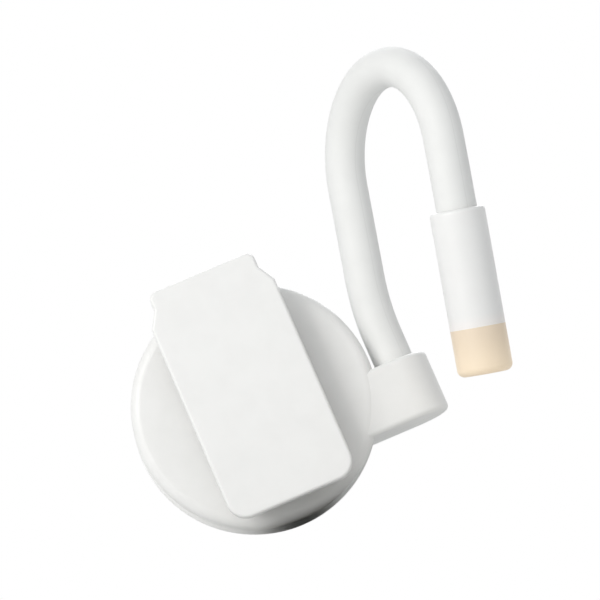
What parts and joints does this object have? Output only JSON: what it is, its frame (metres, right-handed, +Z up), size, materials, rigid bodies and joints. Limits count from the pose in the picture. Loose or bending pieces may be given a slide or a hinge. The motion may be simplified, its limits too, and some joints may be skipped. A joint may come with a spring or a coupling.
{
  "type": "clip-on reading light",
  "caption": "Small clip-on book light: round coin-cell body, sprung clip plate and a soft flexible neck looping over to a slim lit head.",
  "frame": {"origin": "middle of the stop that the page's edge rests against, in the plane where the jaws meet", "axes": "+X to the reader's right, +Y away from the reader, +Z up along the clip"},
  "size_m": [0.0629, 0.034, 0.0603],
  "materials": {
    "shell": "satin moulded ABS",
    "lever": "satin moulded ABS",
    "button": "satin",
    "cover": "fine satin",
    "head": "satin moulded ABS",
    "sleeve": "soft matt silicone",
    "pad": "matt silicone",
    "lens": "translucent, lit from inside",
    "led": "phosphor face",
    "board": "lacquered",
    "switch": "moulded",
    "cell": "nickel plated",
    "contact": "spring bronze",
    "steel": "zinc plated",
    "spring": "drawn wire",
    "wire": "annealed wire",
    "lead": "insulation"
  },
  "bodies": {
    "body": {"front_shell": "shell", "rear_shell": "shell", "shell_screws": "steel", "circuit_board": "board", "tact_switch": "switch", "driver_chip": "switch", "resistor": "switch", "coin_cell": "cell", "negative_contact": "contact", "positive_contact": "contact", "body_pad": "pad", "neck_ferrule": "steel", "body_leads": "lead", "clip_spring": "spring", "neck_sleeve_root": "sleeve", "neck_wire_root": "wire", "neck_leads_root": "lead"},
    "lever": {"clip_lever": "lever", "hinge_pin": "steel", "lever_pad": "pad"},
    "button": {"power_button": "button", "switch_stem": "button"},
    "cover": {"battery_cover": "cover"},
    "neck_1": {"neck_sleeve_1": "sleeve", "neck_wire_1": "wire", "neck_leads_1": "lead"},
    "neck_2": {"neck_sleeve_2": "sleeve", "neck_wire_2": "wire", "neck_leads_2": "lead"},
    "neck_3": {"neck_sleeve_3": "sleeve", "neck_wire_3": "wire", "neck_leads_3": "lead"},
    "neck_4": {"neck_sleeve_4": "sleeve", "neck_wire_4": "wire", "neck_leads_4": "lead"},
    "neck_5": {"neck_sleeve_5": "sleeve", "neck_wire_5": "wire", "neck_leads_5": "lead"},
    "neck_6": {"neck_sleeve_6": "sleeve", "neck_wire_6": "wire", "neck_leads_6": "lead"},
    "neck_7": {"neck_sleeve_7": "sleeve", "neck_wire_7": "wire", "neck_leads_7": "lead"},
    "neck_8": {"neck_sleeve_8": "sleeve", "neck_wire_8": "wire", "neck_leads_8": "lead"},
    "neck_9": {"neck_sleeve_9": "sleeve", "neck_wire_9": "wire", "neck_leads_9": "lead", "head_shell": "head", "led_board": "board", "led_chip": "led", "lens_tip": "lens"}
  },
  "joints": [
    {"name": "lever_open", "type": "hinge", "parent": "body", "child": "lever", "pos_m": [0, -0.0012, 0.0036], "axis": [-1, 0, 0], "range_deg": [0, 28], "stiffness_Nm_per_rad": 0.05, "springref_deg": -40.11, "deforming": ["clip_spring"]},
    {"name": "button_press", "type": "slide", "parent": "body", "child": "button", "axis": [0, -1, 0], "range_m": [0, 0.0005], "stiffness_N_per_m": 1200, "springref_m": -0.0008},
    {"name": "cover_turn", "type": "hinge", "parent": "body", "child": "cover", "pos_m": [0, 0.0095, -0.0158], "axis": [0, 1, 0], "range_deg": [0, 30]},
    {"name": "neck_sway", "type": "hinge", "parent": "body", "child": "neck_1", "pos_m": [0.0224, 0.0062, -0.01], "axis": [0, 1, 0], "range_deg": [-8, 15]},
    {"name": "neck_sway_2", "type": "hinge", "parent": "neck_1", "child": "neck_2", "pos_m": [0.02298, 0.0062, -0.00203], "axis": [0, 1, 0], "range_deg": [-8, 15]},
    {"name": "neck_curl_low", "type": "hinge", "parent": "neck_2", "child": "neck_3", "pos_m": [0.02482, 0.0062, 0.00627], "axis": [0.8522, 0.4848, -0.1967], "range_deg": [-24, 2]},
    {"name": "neck_curl_low_2", "type": "hinge", "parent": "neck_3", "child": "neck_4", "pos_m": [0.02685, 0.00618, 0.01503], "axis": [0.8522, 0.4848, -0.1967], "range_deg": [-24, 2]},
    {"name": "neck_curl_low_3", "type": "hinge", "parent": "neck_4", "child": "neck_5", "pos_m": [0.0302, 0.00343, 0.02275], "axis": [0.8522, 0.4848, -0.1967], "range_deg": [-24, 2]},
    {"name": "neck_curl_high", "type": "hinge", "parent": "neck_5", "child": "neck_6", "pos_m": [0.03479, -0.00302, 0.02673], "axis": [0.8522, 0.4848, -0.1967], "range_deg": [-24, 2]},
    {"name": "neck_curl_high_2", "type": "hinge", "parent": "neck_6", "child": "neck_7", "pos_m": [0.0389, -0.01076, 0.02547], "axis": [0.8522, 0.4848, -0.1967], "range_deg": [-24, 2]},
    {"name": "neck_curl_high_3", "type": "hinge", "parent": "neck_7", "child": "neck_8", "pos_m": [0.04101, -0.01691, 0.01945], "axis": [0.8522, 0.4848, -0.1967], "range_deg": [-24, 2]},
    {"name": "neck_curl_high_4", "type": "hinge", "parent": "neck_8", "child": "neck_9", "pos_m": [0.04032, -0.01916, 0.01091], "axis": [0.8522, 0.4848, -0.1967], "range_deg": [-24, 2]}
  ],
  "couplings": [
    {"joint": "neck_sway_2", "follows": "neck_sway", "ratio": 1},
    {"joint": "neck_curl_low_2", "follows": "neck_curl_low", "ratio": 1},
    {"joint": "neck_curl_low_3", "follows": "neck_curl_low", "ratio": 1},
    {"joint": "neck_curl_high_2", "follows": "neck_curl_high", "ratio": 1},
    {"joint": "neck_curl_high_3", "follows": "neck_curl_high", "ratio": 1},
    {"joint": "neck_curl_high_4", "follows": "neck_curl_high", "ratio": 1}
  ]
}
